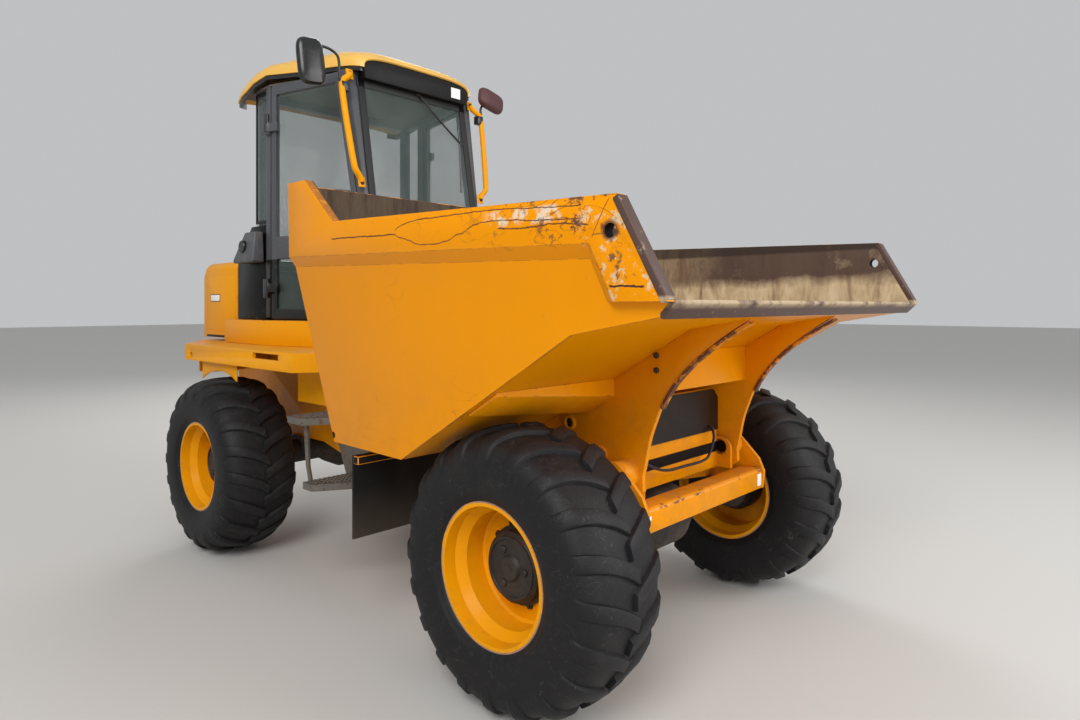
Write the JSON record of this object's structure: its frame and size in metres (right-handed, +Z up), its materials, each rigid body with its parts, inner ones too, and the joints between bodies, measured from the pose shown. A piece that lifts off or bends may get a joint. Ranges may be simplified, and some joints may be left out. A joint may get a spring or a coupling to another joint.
{
  "type": "articulated site dumper",
  "caption": "Articulated site dumper with a forward-tipping skip on the front chassis and a glazed cab over the rear one.",
  "frame": {"origin": "on the ground under the middle of the whole machine", "axes": "+X ahead towards the lip of the skip, +Y to the driver's left, +Z up"},
  "size_m": [4.915, 2.554, 3.345],
  "materials": {
    "body_yellow": "gloss enamel, scratched and dusty",
    "roof_yellow": "weathered moulding",
    "rim_yellow": "gloss enamel",
    "frame_grey": "satin dark grey",
    "panel_black": "matt black",
    "axle_black": "oily black",
    "hub_iron": "dark, worn",
    "tyre_rubber": "worn rubber",
    "flap_rubber": "matt",
    "window_glass": "tinted",
    "step_steel": "galvanised, worn",
    "ram_black": "satin black",
    "ram_chrome": "polished",
    "seat_cloth": "dark cloth",
    "lamp_red": "clear red",
    "engine_iron": "painted iron",
    "pod_grey": "dark grey moulding"
  },
  "bodies": {
    "rear_chassis": {"rear_frame": "body_yellow", "rear_axle": "axle_black", "side_decks": "body_yellow", "rear_skirts": "body_yellow", "side_tanks": "body_yellow", "steps": "step_steel", "cab_plinth": "body_yellow", "engine": "engine_iron", "cab_frame": "frame_grey", "cab_roof": "roof_yellow", "windscreen": "window_glass", "cab_windows": "window_glass", "cab_panels": "panel_black", "seat": "seat_cloth", "console": "panel_black", "steering_wheel": "panel_black", "grab_rails": "body_yellow", "mirrors": "panel_black", "air_cleaner": "pod_grey", "tail_lamps": "lamp_red", "bonnet_posts": "frame_grey"},
    "front_chassis": {"front_frame": "body_yellow", "front_axle": "axle_black", "front_crossbar": "body_yellow", "tower_cover": "panel_black", "mudflaps": "flap_rubber", "flap_arms": "body_yellow"},
    "skip": {"skip_floor": "body_yellow", "skip_sides": "body_yellow", "skip_ribs": "body_yellow", "skip_braces": "body_yellow"},
    "tip_ram_barrel": {"tip_ram_barrel": "ram_black"},
    "tip_ram_rod": {"tip_ram_rod": "ram_chrome"},
    "steer_ram_barrel": {"steer_ram_barrel": "ram_black"},
    "steer_ram_rod": {"steer_ram_rod": "ram_chrome"},
    "door_right": {"door_right": "frame_grey", "door_right_glass": "window_glass"},
    "door_left": {"door_left": "frame_grey", "door_left_glass": "window_glass"},
    "bonnet": {"bonnet": "body_yellow", "bonnet_grille": "panel_black"},
    "wheel_front_right": {"tyre_front_right": "tyre_rubber", "rim_front_right": "rim_yellow", "hub_front_right": "hub_iron"},
    "wheel_front_left": {"tyre_front_left": "tyre_rubber", "rim_front_left": "rim_yellow", "hub_front_left": "hub_iron"},
    "wheel_rear_right": {"tyre_rear_right": "tyre_rubber", "rim_rear_right": "rim_yellow", "hub_rear_right": "hub_iron"},
    "wheel_rear_left": {"tyre_rear_left": "tyre_rubber", "rim_rear_left": "rim_yellow", "hub_rear_left": "hub_iron"}
  },
  "joints": [
    {"name": "steer", "type": "hinge", "parent": "rear_chassis", "child": "front_chassis", "pos_m": [0.1425, 0, 0.7], "axis": [0, 0, 1], "range_deg": [-30, 30]},
    {"name": "skip_tip", "type": "hinge", "parent": "front_chassis", "child": "skip", "pos_m": [1.7075, 0, 0.9], "axis": [0, 1, 0], "range_deg": [0, 62]},
    {"name": "tip_ram_swing", "type": "hinge", "parent": "front_chassis", "child": "tip_ram_barrel", "pos_m": [0.5425, 0, 0.62], "axis": [0, -1, 0], "range_deg": [-0.2, 10.22]},
    {"name": "tip_ram_slide", "type": "slide", "parent": "tip_ram_barrel", "child": "tip_ram_rod", "axis": [0.9044, 0, 0.4267], "range_m": [-0.001, 0.44091]},
    {"name": "steer_ram_swing", "type": "hinge", "parent": "rear_chassis", "child": "steer_ram_barrel", "pos_m": [-0.2075, -0.32, 0.7], "axis": [0, 0, 1], "range_deg": [-14.46, 14.46]},
    {"name": "steer_ram_slide", "type": "slide", "parent": "steer_ram_barrel", "child": "steer_ram_rod", "axis": [1, 0, 0], "range_m": [-0.16663, 0.16663]},
    {"name": "door_right_swing", "type": "hinge", "parent": "rear_chassis", "child": "door_right", "pos_m": [-1.20328, -0.7175, 2.3], "axis": [0, 0, -1], "range_deg": [0, 80]},
    {"name": "door_left_swing", "type": "hinge", "parent": "rear_chassis", "child": "door_left", "pos_m": [-1.20328, 0.7175, 2.3], "axis": [0, 0, 1], "range_deg": [0, 80]},
    {"name": "bonnet_lift", "type": "hinge", "parent": "rear_chassis", "child": "bonnet", "pos_m": [-1.7775, 0, 1.97], "axis": [0, 1, 0], "range_deg": [0, 60]},
    {"name": "roll_front_right", "type": "hinge", "parent": "front_chassis", "child": "wheel_front_right", "pos_m": [1.5425, -0.945, 0.585], "axis": [0, 1, 0], "continuous": true},
    {"name": "roll_front_left", "type": "hinge", "parent": "front_chassis", "child": "wheel_front_left", "pos_m": [1.5425, 0.945, 0.585], "axis": [0, 1, 0], "continuous": true},
    {"name": "roll_rear_right", "type": "hinge", "parent": "rear_chassis", "child": "wheel_rear_right", "pos_m": [-1.3195, -0.945, 0.585], "axis": [0, 1, 0], "continuous": true},
    {"name": "roll_rear_left", "type": "hinge", "parent": "rear_chassis", "child": "wheel_rear_left", "pos_m": [-1.3195, 0.945, 0.585], "axis": [0, 1, 0], "continuous": true}
  ],
  "couplings": [
    {"joint": "tip_ram_swing", "follows": "skip_tip", "ratio": 0.16167},
    {"joint": "tip_ram_slide", "follows": "skip_tip", "m_per_rad": 0.40653},
    {"joint": "steer_ram_swing", "follows": "steer", "ratio": 0.47548},
    {"joint": "steer_ram_slide", "follows": "steer", "m_per_rad": 0.31633}
  ]
}
